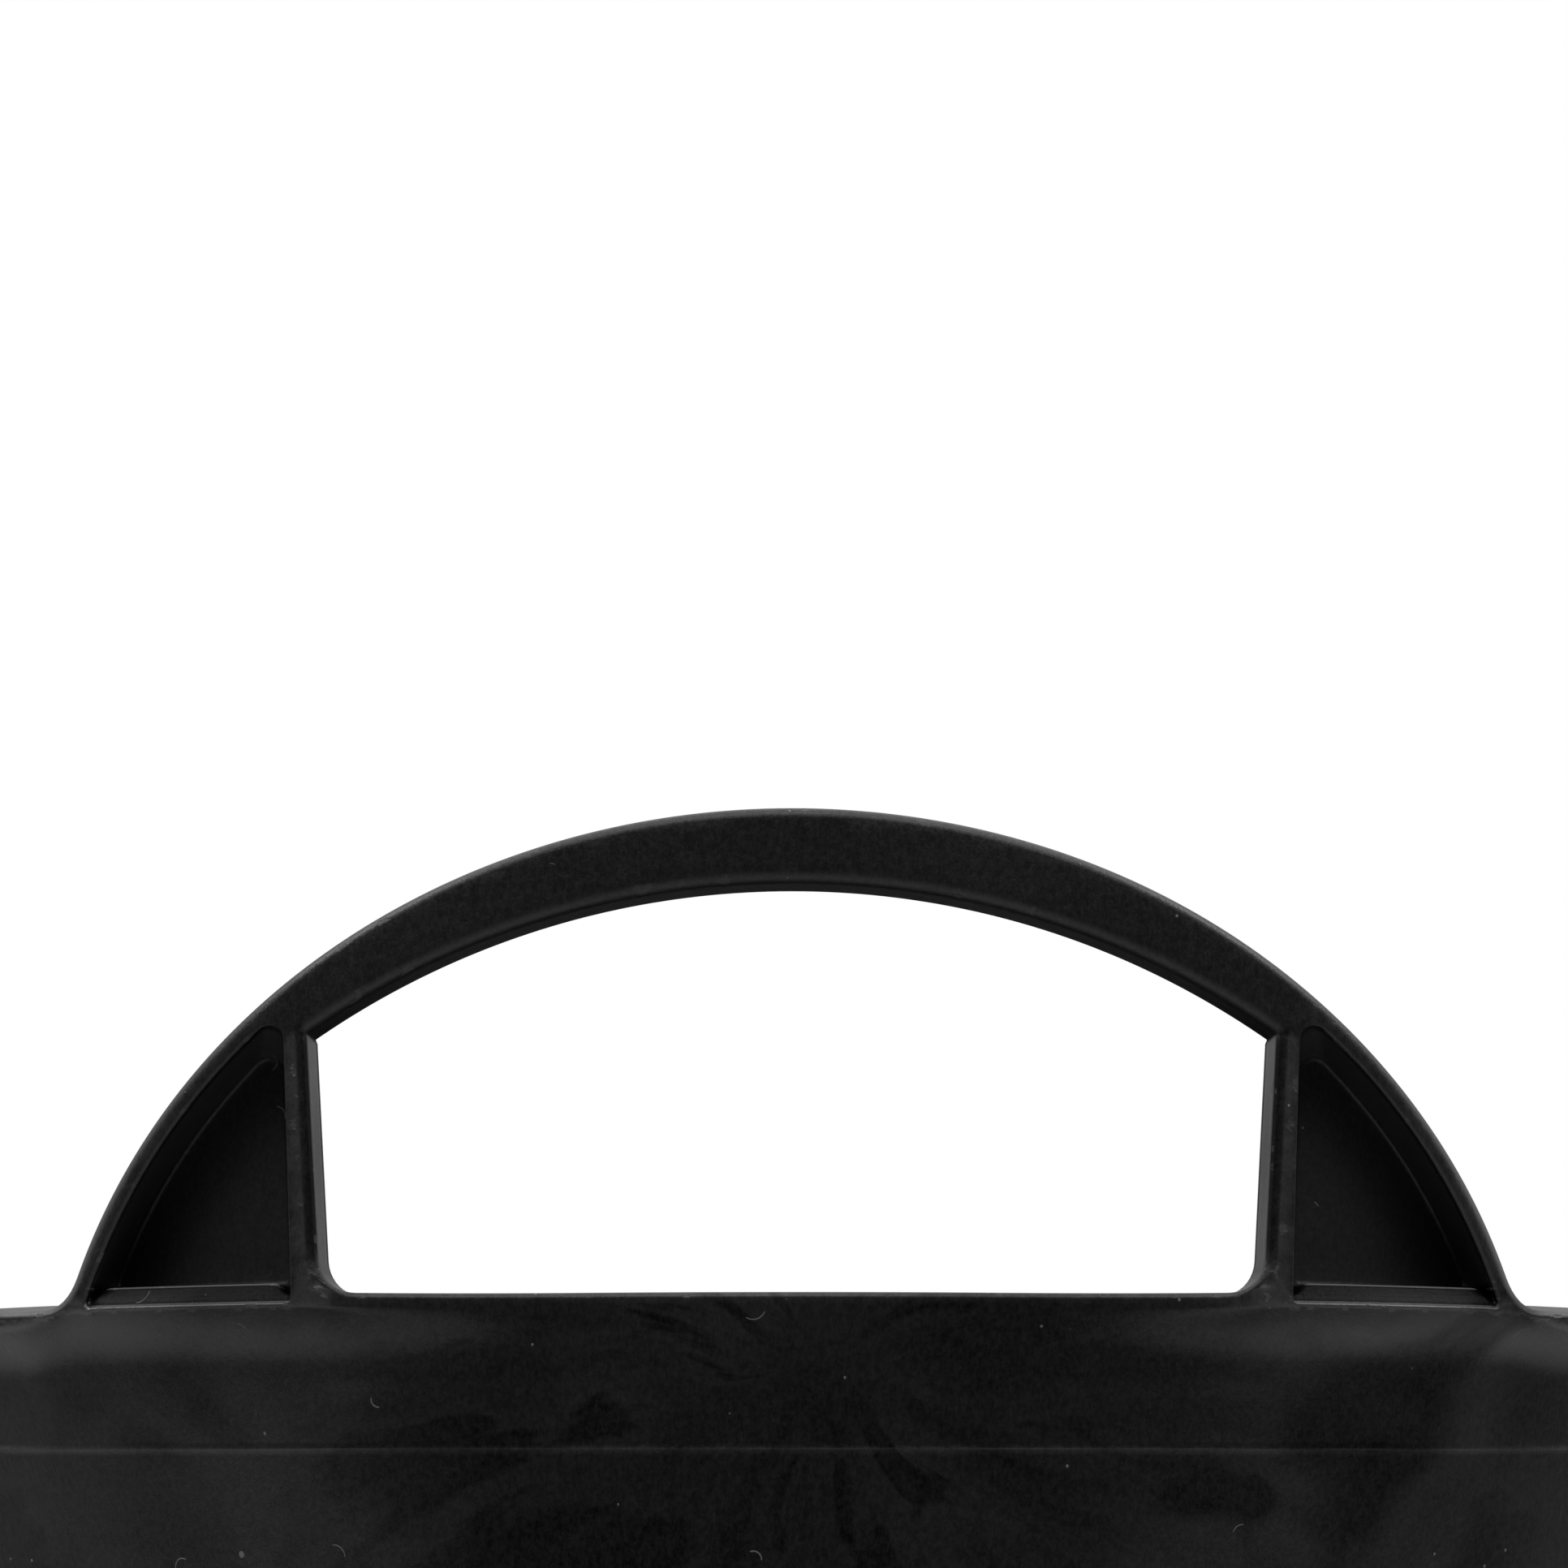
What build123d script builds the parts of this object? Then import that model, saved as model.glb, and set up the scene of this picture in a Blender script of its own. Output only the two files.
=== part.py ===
from build123d import *
import os
from math import radians, sqrt, tan

# A round, flexible mortar tub with two arched hand grips, all one soft plastic moulding.
# Millimetres. The origin is the centre of the foot, +Z is up, and the front grip is at -Y.

# Tub body
rim_height = 330.0  # top of the wall at the mouth
mouth_radius = 212.0  # outside of the wall at the mouth
foot_radius = 168.0  # outside of the wall where it meets the ground, before its corner is rounded
wall = 4.0
floor_thickness = 5.0
outer_corner = 18.0  # rounding between wall and floor, outside
foot_recess = 3.0  # the floor is lifted by this much inside the foot ring
foot_ring_width = 12.0

# Rim lip, which runs round the mouth except below the hand openings
lip_radius = 225.0
lip_drop = 2.5  # the lip's top slopes down by this much to its edge
lip_edge = 5.0  # height of the lip's upright edge
lip_root = 12.0  # height of the hollow below the lip
lip_hollow_radius = 14.0
lip_overlap = 1.0  # how deep the lip's ring is sunk into the wall
lip_sink = 0.2  # the lip's top starts this far below the rim
lip_flare = 2.0  # below a grip the lip's straight edge runs on past the arch by this much, each side

# Grip, drawn on the XZ plane with heights above the rim and pulled from the mould along Y
arch_half_width = 131.6  # the outside of the arch is the top of an ellipse
arch_half_height = 108.7
arch_centre = -28.0
grip_under_radius = 158.4  # the underside of the grip is an arc of a circle
grip_under_centre = -90.5
post_inner_top = 82.6  # half-width of the hand opening at its top
post_inner_foot = 80.0
post_thickness = 4.0
rib_thickness = 4.0
pocket_corner = 5.0
opening_foot_corner = 6.5
arch_root_corner = 7.0
finger_chamfer = 5.0  # under the grip at its inner face, where the fingers close

# Flexing root of the grip
root_height = 6.0  # above the rim, the level at which the grip starts to lean
root_gap = 0.4
root_axis_radius = 190.0  # distance of the bending line from the tub's axis
lean_limit = 25.0  # degrees, inward
lean_clearance = 1.5  # degrees

inner_radius = mouth_radius - wall
split_height = rim_height + root_height
wall_lean = (mouth_radius - foot_radius) / rim_height
arch_top = rim_height + arch_centre + arch_half_height
buried = lip_drop + lip_edge  # how far the grip's blank reaches down into the lip
reach = lip_radius + 10.0  # far enough from the axis to clear the lip
beyond = 4 * arch_half_width  # large enough to cut past the whole grip
ring_height = 2 * (arch_top - rim_height)  # tall enough to hold the whole grip
tolerance = 0.01  # for picking out vertices by their height


def wall_radius(height):
    """Outside radius of the plain wall at a height."""
    return foot_radius + wall_lean * height


# Section of the body, revolved round Z: up the outside, over the lip and down the inside.
floor_top = foot_recess + floor_thickness
foot_ring_inside = foot_radius - outer_corner - foot_ring_width
lip_foot = rim_height - lip_drop - lip_edge
lip_root_foot = lip_foot - lip_root
with BuildPart() as body_blank:
    with BuildSketch(Plane.XZ) as body_section:
        with BuildLine():
            Polyline(
                (0, foot_recess),
                (foot_ring_inside, foot_recess),
                (foot_ring_inside, 0),
                (wall_radius(0), 0),
                (mouth_radius, rim_height),
                (inner_radius, rim_height),
                (wall_radius(foot_recess) - wall, floor_top),
                (0, floor_top),
                (0, foot_recess),
            )
        make_face()
        outer_point = body_section.vertices().group_by(Axis.Y)[0].sort_by(Axis.X)[-1]
        fillet(outer_point, outer_corner)
        inner_point = body_section.vertices().filter_by_position(
            Axis.Y, floor_top - tolerance, floor_top + tolerance
        ).sort_by(Axis.X)[-1]
        fillet(inner_point, outer_corner - wall)
    revolve(axis=Axis.Z)

# The lip is a ring on the outside of the wall, with a hollow quarter below it.
with BuildPart() as lip_ring:
    with BuildSketch(Plane.XZ):
        with BuildLine():
            inner_top = (mouth_radius - lip_overlap, rim_height - lip_sink)
            inner_foot = (mouth_radius - lip_overlap, lip_root_foot)
            edge_top = (lip_radius, rim_height - lip_drop)
            edge_foot = (lip_radius, lip_foot)
            hollow_foot = (wall_radius(lip_root_foot), lip_root_foot)
            Polyline(inner_foot, inner_top, edge_top, edge_foot)
            RadiusArc(edge_foot, hollow_foot, -lip_hollow_radius)
            Line(hollow_foot, inner_foot)
        make_face()
    revolve(axis=Axis.Z)
    # Below each hand opening the wall runs plain to the rim.
    with BuildSketch(Plane.XZ.offset(-reach)):
        with Locations((0, rim_height)):
            Rectangle(2 * post_inner_foot, 4 * (lip_root + buried))
    extrude(amount=2 * reach, mode=Mode.SUBTRACT)

# Everything of a grip that stands proud of the wall: arch, posts and root flares.
with BuildPart() as grip_blank:
    with BuildSketch(Plane.XZ) as grip_face:
        with Locations((0, rim_height + arch_centre)):
            Ellipse(arch_half_width, arch_half_height)
        with Locations((0, rim_height - lip_drop)):
            Rectangle(beyond, beyond, align=(Align.CENTER, Align.MAX), mode=Mode.SUBTRACT)
            Rectangle(2 * (arch_half_width + lip_flare), lip_edge, align=(Align.CENTER, Align.MAX))
        arch_roots = grip_face.vertices().filter_by_position(
            Axis.Y, rim_height - lip_drop - tolerance, rim_height - lip_drop + tolerance
        ).group_by(Axis.X)
        fillet(arch_roots[1] + arch_roots[-2], arch_root_corner)
    extrude(amount=reach)
    with BuildSketch(Plane.XY.offset(rim_height - buried)):
        Circle(lip_radius)
        Circle(inner_radius, mode=Mode.SUBTRACT)
    extrude(amount=ring_height, mode=Mode.INTERSECT)
    # The hand opening, with mitred top corners and rounded foot corners.
    with BuildSketch(Plane.XZ) as opening_face:
        with BuildLine():
            top_height = rim_height + grip_under_centre + sqrt(grip_under_radius**2 - post_inner_top**2)
            Polyline(
                (-post_inner_top, top_height),
                (-post_inner_foot, rim_height),
                (post_inner_foot, rim_height),
                (post_inner_top, top_height),
            )
            RadiusArc((-post_inner_top, top_height), (post_inner_top, top_height), grip_under_radius)
        make_face()
        fillet(opening_face.vertices().group_by(Axis.Y)[0], opening_foot_corner)
    extrude(amount=reach, mode=Mode.SUBTRACT)
    # Below the opening the blank is cut away, so that the plain wall shows.
    with BuildSketch(Plane.XZ):
        with Locations((0, rim_height)):
            Rectangle(2 * post_inner_foot, 2 * buried, align=(Align.CENTER, Align.MAX))
    extrude(amount=reach, mode=Mode.SUBTRACT)

# The two triangular pockets, cut from the outside down to a web in line with the wall.
with BuildPart() as pocket_cutter:
    with BuildSketch(Plane.XZ) as pocket_face:
        with Locations((0, rim_height + arch_centre)):
            Ellipse(arch_half_width - rib_thickness, arch_half_height - rib_thickness)
        with Locations((0, rim_height)):
            Rectangle(beyond, beyond, align=(Align.CENTER, Align.MAX), mode=Mode.SUBTRACT)
            Rectangle(2 * (post_inner_top + post_thickness), beyond, mode=Mode.SUBTRACT)
        fillet(pocket_face.vertices().group_by(Axis.Y)[-1], pocket_corner)
    extrude(amount=reach)
    with BuildSketch(Plane.XY.offset(rim_height - buried)):
        Circle(reach)
        Circle(mouth_radius, mode=Mode.SUBTRACT)
    extrude(amount=ring_height, mode=Mode.INTERSECT)

# One grip from lip to arch, pocketed and rounded for the hand.
with BuildPart() as whole_grip:
    add(grip_blank.part)
    add(pocket_cutter.part, mode=Mode.SUBTRACT)
    # The underside of the grip is eased at its back for the fingers.
    # Of the four longest edges, the underside has the lower two.
    under_edges = whole_grip.edges().sort_by(SortBy.LENGTH)[-4:].sort_by(Axis.Z)[:2]
    chamfer(under_edges.sort_by(Axis.Y)[-1], finger_chamfer)

# Front grip: everything above the flexing level, with room at the back of its root to lean inward.
with BuildPart() as front_handle:
    add(whole_grip.part)
    split(bisect_by=Plane.XY.offset(split_height + root_gap), keep=Keep.TOP)
    with BuildSketch(Plane.YZ):
        with BuildLine():
            rise = tan(radians(lean_limit + lean_clearance))
            Polyline(
                (-root_axis_radius, split_height),
                (0, split_height),
                (0, split_height + rise * root_axis_radius),
                (-root_axis_radius, split_height),
            )
        make_face()
    extrude(amount=reach, both=True, mode=Mode.SUBTRACT)
front_handle.part.label = "front_handle"

# Rear grip: the same moulding on the far side.
with BuildPart() as rear_handle:
    add(front_handle.part)
    mirror(about=Plane.XZ, mode=Mode.REPLACE)
rear_handle.part.label = "rear_handle"

# The roots of both grips stay on the tub.
with BuildPart() as grip_roots:
    add(whole_grip.part)
    split(bisect_by=Plane.XY.offset(split_height), keep=Keep.BOTTOM)
    mirror(about=Plane.XZ)

# Tub shell: body, lip and the two pairs of grip roots.
with BuildPart() as tub_shell:
    add(body_blank.part)
    add(lip_ring.part)
    add(grip_roots.part)
tub_shell.part.label = "tub_shell"

os.makedirs("parts", exist_ok=True)
export_step(tub_shell.part, "parts/tub_shell.step")
export_step(front_handle.part, "parts/front_handle.step")
export_step(rear_handle.part, "parts/rear_handle.step")
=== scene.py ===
import math

import bmesh
import bpy
import numpy as np
from mathutils import Matrix, Vector
from mathutils.geometry import delaunay_2d_cdt


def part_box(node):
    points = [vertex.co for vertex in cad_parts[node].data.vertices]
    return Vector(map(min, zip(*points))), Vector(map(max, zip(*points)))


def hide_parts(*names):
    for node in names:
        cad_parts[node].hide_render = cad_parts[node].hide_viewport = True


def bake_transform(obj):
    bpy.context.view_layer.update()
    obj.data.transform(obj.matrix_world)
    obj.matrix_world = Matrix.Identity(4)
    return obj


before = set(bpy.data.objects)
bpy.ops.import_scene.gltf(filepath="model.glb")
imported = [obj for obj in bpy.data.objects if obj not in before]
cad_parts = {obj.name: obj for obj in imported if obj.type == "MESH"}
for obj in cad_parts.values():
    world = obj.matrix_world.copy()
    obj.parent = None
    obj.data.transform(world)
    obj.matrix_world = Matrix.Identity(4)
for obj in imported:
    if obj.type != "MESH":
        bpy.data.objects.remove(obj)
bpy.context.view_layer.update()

# Shapes are worked out in millimetres, with heights counted from the rim of the tub, and are
# turned into metres in the frame of the CAD model when a mesh is made.
MM = 0.001

# Sizes taken from the frame
shell_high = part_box("tub_shell")[1]
grip_low, grip_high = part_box("front_handle")
ROOT_HEIGHT = 6.0  # the CAD grip leaves the tub this far above the rim
RIM = round(shell_high.z / MM) - ROOT_HEIGHT
LIP_RADIUS = float(round(-grip_low.y / MM))
ARCH_TOP = grip_high.z / MM - RIM

# Wall and lip
LIP_REACH = 13.0
WALL = 4.0
MOUTH_RADIUS = LIP_RADIUS - LIP_REACH
INNER_RADIUS = MOUTH_RADIUS - WALL
FOOT_RADIUS = 168.0
TAPER = (MOUTH_RADIUS - FOOT_RADIUS) / RIM
LIP_DROP = 2.0  # slope of the lip's top, down to its edge
LIP_HOLLOW = 9.5  # height of the hollow below the lip
SWELLING = 6.0  # the wall is this much thicker below the hollow
SWELLING_LENGTH = 90.0  # and thins to its plain thickness over this height
CREASE = 2.3  # the grip's face runs on below the rim this far, to a crease above the hollow
LIP_EDGE = 4.6  # the same beside the grip, where the lip runs on alone
COLLAR = -16.0  # above this height the front sector is a free mesh, and below it a turned one
PARTING_LINE = -26.0  # where the slides of the mould meet its lower block
PARTING_RIDGE = 0.09  # how far it stands out

# Foot and floor
FOOT_CORNER = 18.0
FLOOR_CORNER = 14.0
FOOT_LIFT = 3.0  # the base is lifted by this much inside the foot ring
FLOOR_THICKNESS = 5.0
FOOT_RING_OUTER = 148.0
FOOT_RING_INNER = 137.0

# Arch and hand opening
ARCH_HALF_WIDTH = 131.6
ARCH_CENTRE = -28.0
ARCH_HALF_HEIGHT = ARCH_TOP - ARCH_CENTRE
ARCH_ROOT = 7.0
EDGE = 1.8  # rounding of the arch's outer edge at its front
BACK_EDGE = 1.2
UNDER_RADIUS = 158.4
UNDER_CENTRE = -90.5
POST_FOOT = 80.0  # half-width of the hand opening at the rim
POST_LEAN = 0.079
POST_ROOT = 6.5
POST_OUTER = 84.9
POST_OUTER_LEAN = 0.058

# Pockets beside the posts
RIB = 3.7
POCKET_DRAFT = 1.2
POCKET_LEDGE = -1.5
LEDGE_RISE = 3.2
LEDGE_DEPTH = 2.3  # the ledge's sloping front ends this far behind the grip's face

# Half-width of the front sector, which holds the grip
SECTOR = 150.0
STEP = 2.5


def smooth(t):
    """0 to 1 with flat ends."""
    t = np.clip(t, 0, 1)
    return t * t * (3 - 2 * t)


def mix(a, b, t):
    return a + (b - a) * t


def unit(v):
    return v / np.linalg.norm(v)


def wall_radius(z):
    """Outside of the plain wall. Above the rim it stands upright."""
    z = np.asarray(z, float)
    return MOUTH_RADIUS - TAPER * 2.0 * np.logaddexp(0, -z / 2.0)


def fading(t, power):
    """1 where t is 0, falling to 0 where t is 1, steepest at first."""
    return (1 - np.minimum(1, t)) ** power


def relief(x, z):
    """How far the lip, the grip's outer face and the swelling below them stand out from the wall.

    Below the hand opening all of it fades toward the middle, but not above the opening.
    """
    x = np.abs(np.asarray(x, float))
    z = np.asarray(z, float)
    band = mix(CREASE, LIP_EDGE, smooth((x - 125) / 15))
    below = np.maximum(0, -band - z)
    inward = np.maximum(0, POST_FOOT - x) / 46 * (1 - smooth((z - 7) / 10))
    lip = fading(np.hypot(below / LIP_HOLLOW, inward), 2.2)
    swelling = fading(np.hypot(below / SWELLING_LENGTH, inward), 2.0)
    return (LIP_REACH - SWELLING) * lip + SWELLING * swelling


def outer_radius(x, z):
    return wall_radius(z) + relief(x, z)


def inner_radius(x, z):
    """The inside is plain, whatever x is."""
    return wall_radius(z) - WALL


def round_corner(before, corner, after, radius, steps):
    """The arc that rounds a corner, from the side of before to the side of after."""
    before, corner, after = (np.array(p, float) for p in (before, corner, after))
    u = unit(before - corner)
    v = unit(after - corner)
    half = math.acos(float(np.clip(u @ v, -1, 1))) / 2
    centre = corner + unit(u + v) * radius / math.sin(half)
    start = corner + u * radius / math.tan(half) - centre
    end = corner + v * radius / math.tan(half) - centre
    first = math.atan2(start[1], start[0])
    turn = (math.atan2(end[1], end[0]) - first + math.pi) % (2 * math.pi) - math.pi
    angles = first + turn * np.linspace(0, 1, steps + 1)
    return centre + radius * np.c_[np.cos(angles), np.sin(angles)]


def straight(a, b, step):
    """Points from a to b, about step apart, both ends included."""
    a, b = np.array(a, float), np.array(b, float)
    count = max(1, round(float(np.linalg.norm(b - a)) / step))
    return a + (b - a) * np.linspace(0, 1, count + 1)[:, None]


def joined(*runs):
    """One polyline from runs of points, without the points that repeat."""
    points = np.vstack(runs)
    keep = np.r_[True, np.linalg.norm(np.diff(points, axis=0), axis=1) > 1e-6]
    return points[keep]


def left_normals(points, closed):
    """Normals to the left of the direction of travel.

    They are lengthened at corners, so that an offset outline stays parallel to the first one.
    """
    if closed:
        before = np.roll(points, 1, axis=0)
        after = np.roll(points, -1, axis=0)
    else:
        before = np.r_[points[:1], points[:-1]]
        after = np.r_[points[1:], points[-1:]]
    a = points - before
    b = after - points
    if not closed:
        a[0] = b[0]
        b[-1] = a[-1]
    a, b = (v / np.linalg.norm(v, axis=1)[:, None] for v in (a, b))
    normal_a = np.c_[-a[:, 1], a[:, 0]]
    normal_b = np.c_[-b[:, 1], b[:, 0]]
    total = normal_a + normal_b
    total /= np.linalg.norm(total, axis=1)[:, None]
    return total / np.maximum(0.6, (total * normal_a).sum(1))[:, None]


class Moulding:
    """A mesh in the making. A point is (x, height, radius from the tub's axis), on the front side."""

    def __init__(self):
        self.points = []
        self.faces = []

    def row(self, x, z, radius):
        """Adds points and returns their numbers."""
        given = (np.atleast_1d(v).astype(float) for v in (x, z, radius))
        x, z, radius = np.broadcast_arrays(*given)
        first = len(self.points)
        self.points += list(zip(x, z, radius))
        return list(range(first, len(self.points)))

    def bridge(self, a, b, closed=False):
        """Quads between two rows of equal length."""
        count = len(a) if closed else len(a) - 1
        for i in range(count):
            j = (i + 1) % len(a)
            self.faces.append((a[i], a[j], b[j], b[i]))

    def fill(self, loops, spots, radius_of, gap=0.45 * STEP):
        """Triangles inside the first loop and outside the others, with free points among them."""
        ids = [i for loop in loops for i in loop]
        fixed = np.array([self.points[i][:2] for i in ids])
        edges = []
        first = 0
        for loop in loops:
            ring = list(range(first, first + len(loop)))
            edges += list(zip(ring, ring[1:] + ring[:1]))
            first += len(loop)
        segments = np.array([np.r_[fixed[a], fixed[b]] for a, b in edges])
        spots = spots[inside(spots, segments)]
        spots = spots[clear_of(spots, fixed, gap)]
        flat = [Vector(p) for p in np.vstack([fixed, spots])]
        found, _, triangles, origin, *_ = delaunay_2d_cdt(flat, edges, [], 0, 1e-6)
        number = []
        for point, source in zip(found, origin):
            if source and source[0] < len(ids):
                number.append(ids[source[0]])
            else:
                number += self.row(point.x, point.y, radius_of(point.x, point.y))
        centres = np.array([sum((found[i] for i in t), Vector((0, 0))) / 3 for t in triangles])
        for t, kept in zip(triangles, inside(centres, segments)):
            if kept:
                self.faces.append(tuple(number[i] for i in t))


def inside(points, segments):
    """Even-odd test of points against the segments of closed loops."""
    x0, z0, x1, z1 = segments.T
    result = np.zeros(len(points), bool)
    for start in range(0, len(points), 4000):
        x = points[start:start + 4000, :1]
        z = points[start:start + 4000, 1:]
        spans = (z0 > z) != (z1 > z)
        crossing = x < x0 + (z - z0) * (x1 - x0) / np.where(z1 == z0, 1, z1 - z0)
        result[start:start + 4000] = (spans & crossing).sum(1) % 2 == 1
    return result


def clear_of(points, fixed, distance):
    """True for the points that keep a distance from all the fixed ones."""
    result = np.ones(len(points), bool)
    for start in range(0, len(points), 2000):
        block = points[start:start + 2000]
        gaps = np.hypot(block[:, :1] - fixed[:, 0], block[:, 1:] - fixed[:, 1])
        result[start:start + 2000] = gaps.min(1) > distance
    return result


def edge_section(front, back, depth, drop, groove, bevel=0.0):
    """Section across an edge face, from the outer face to the inner one.

    Returns, for each outline point, the depths behind the outer face and the offsets from the outline.
    front and back are the roundings, drop slopes the face down to its front, and groove is the depth
    of the witness line that the mould leaves near the back. Where bevel is 1, the front is a shallow
    flat bevel in place of a rounding.
    """
    given = np.broadcast_arrays(front, back, depth, drop, groove, bevel)
    front, back, depth, drop, groove, bevel = given
    quarter = np.linspace(0, math.pi / 2, 6)[:, None]
    fractions = np.array([0.2, 0.5, 0.8, 0.86, 0.875, 0.895, 0.91])[:, None]
    is_groove = np.isin(fractions, (0.875, 0.895))
    straight_cut = quarter / (math.pi / 2)
    front_depth = front * mix(1.0, 0.55, bevel)
    flat = depth - front_depth - back
    depths = np.vstack([
        front_depth * mix(1 - np.cos(quarter), straight_cut, bevel),
        front_depth + flat * fractions,
        depth - back * (1 - np.sin(quarter)),
    ])
    offsets = np.vstack([
        -front * mix(1 - np.sin(quarter), 1 - straight_cut, bevel),
        -groove * is_groove,
        -back * (1 - np.cos(quarter)),
    ])
    return depths, offsets - drop * (1 - depths / depth)


def arch_outline():
    """The rim and arch seen from the front, from left to right, and how much each point is rim."""

    def ellipse(angle):
        c = np.cos(angle)
        s = np.sin(angle)
        normal = np.array([c / ARCH_HALF_WIDTH, s / ARCH_HALF_HEIGHT])
        point = np.array([ARCH_HALF_WIDTH * c, ARCH_CENTRE + ARCH_HALF_HEIGHT * s])
        return point, normal / np.linalg.norm(normal)

    low = math.radians(12)
    high = math.radians(30)
    for _ in range(50):  # the angle at which the root rounding leaves the arch
        middle = (low + high) / 2
        point, normal = ellipse(middle)
        if point[1] + ARCH_ROOT * normal[1] < ARCH_ROOT:
            low = middle
        else:
            high = middle
    centre = point + ARCH_ROOT * normal
    first = math.atan2(-normal[1], -normal[0]) % (2 * math.pi)
    turn = np.linspace(1.5 * math.pi, first, 9)
    rim = straight((SECTOR, 0), (centre[0], 0), STEP)
    root = centre + ARCH_ROOT * np.c_[np.cos(turn), np.sin(turn)]
    angles = np.linspace(middle, math.pi / 2, 76)
    arch = np.array([ellipse(a)[0] for a in angles])
    right = joined(rim, root, arch)
    rimness = np.r_[np.ones(len(rim)), 1 - smooth(np.linspace(0, 1, 9))[1:], np.zeros(75)]
    mirrored = right[:-1] * (-1, 1)
    return np.vstack([mirrored, right[::-1]]), np.r_[rimness[:-1], rimness[::-1]]


def opening_outline():
    """The hand opening seen from the front, anticlockwise from the middle of the rim."""
    low = 30.0
    high = 60.0
    for _ in range(50):  # the height at which the post meets the underside of the grip
        top = (low + high) / 2
        across = POST_FOOT + POST_LEAN * top
        under = UNDER_CENTRE + math.sqrt(UNDER_RADIUS**2 - across**2)
        if under > top:
            low = top
        else:
            high = top
    corner = np.array([across, top])
    foot = round_corner((0, 0), (POST_FOOT, 0), corner, POST_ROOT, 10)
    near = corner - unit(corner - foot[-1]) * np.array([[2.4], [1.2], [0.6], [0.3]])
    start = math.atan2(corner[1] - UNDER_CENTRE, corner[0])
    angles = np.linspace(start, math.pi / 2, 45)[1:]
    fine = start + np.array([0.3, 0.6, 1.2]) / UNDER_RADIUS
    angles = np.r_[fine, angles]
    under = np.c_[UNDER_RADIUS * np.cos(angles), UNDER_CENTRE + UNDER_RADIUS * np.sin(angles)]
    right = joined(
        straight((0, 0), foot[0], STEP), foot, straight(foot[-1], near[0], 2.0), near, [corner], under
    )
    kind = smooth(right[:, 1] / POST_ROOT)  # 0 rim, 1 post, 2 grip
    kind[len(right) - len(under):] = 2
    mirrored = (right[1:-1] * (-1, 1))[::-1]
    return np.vstack([right, mirrored]), np.r_[kind, kind[1:-1][::-1]]


def pocket_outline(rib, post_inset, bottom, top_rounding, low_rounding):
    """A triangular pocket on the right, anticlockwise from the post's foot.

    The number of points is the same each time, so that two of them can be bridged. The side along the
    post is bulged by a hair, because a straight row of points there would give triangles without area.
    """
    a = ARCH_HALF_WIDTH - rib
    b = ARCH_HALF_HEIGHT - rib

    def post(z):
        return POST_OUTER + post_inset + POST_OUTER_LEAN * z

    def arch_height(x):
        return ARCH_CENTRE + b * math.sqrt(1 - (x / a) ** 2)

    def arch_point(z):
        return np.array([a * math.sqrt(1 - ((z - ARCH_CENTRE) / b) ** 2), z])

    foot = np.array([post(bottom), bottom])
    outer = arch_point(bottom)
    top = 45.0
    for _ in range(30):
        top = arch_height(post(top))
    tip = np.array([post(top), top])
    beside_tip = np.array([tip[0] + 4, arch_height(tip[0] + 4)])
    corner_foot = round_corner(tip, foot, outer, low_rounding, 6)
    corner_outer = round_corner(foot, outer, arch_point(bottom + 4), low_rounding, 6)
    corner_tip = round_corner(beside_tip, tip, foot, top_rounding, 10)
    first = math.asin((corner_outer[-1][1] - ARCH_CENTRE) / b)
    last = math.asin((corner_tip[0][1] - ARCH_CENTRE) / b)
    angles = np.linspace(first, last, 31)[1:-1]
    curve = np.c_[a * np.cos(angles), ARCH_CENTRE + b * np.sin(angles)]
    share = np.linspace(0, 1, 18)[1:-1, None]
    base = corner_foot[-1] + (corner_outer[0] - corner_foot[-1]) * share
    share = np.linspace(0, 1, 20)[1:-1, None]
    bulge = (0.12, 0) * share * (1 - share)
    side = corner_tip[-1] + (corner_foot[0] - corner_tip[-1]) * share - bulge
    return np.vstack([corner_foot, base, corner_outer, curve, corner_tip, side])


def grid(x0, x1, z0, z1, dx, dz):
    """Free points in staggered rows."""
    rows = []
    for k, z in enumerate(np.arange(z0, z1, dz)):
        x = np.arange(x0, x1, dx) + (k % 2) * dx / 2
        rows.append(np.c_[x, np.full(len(x), z)])
    return np.vstack(rows)


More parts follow.
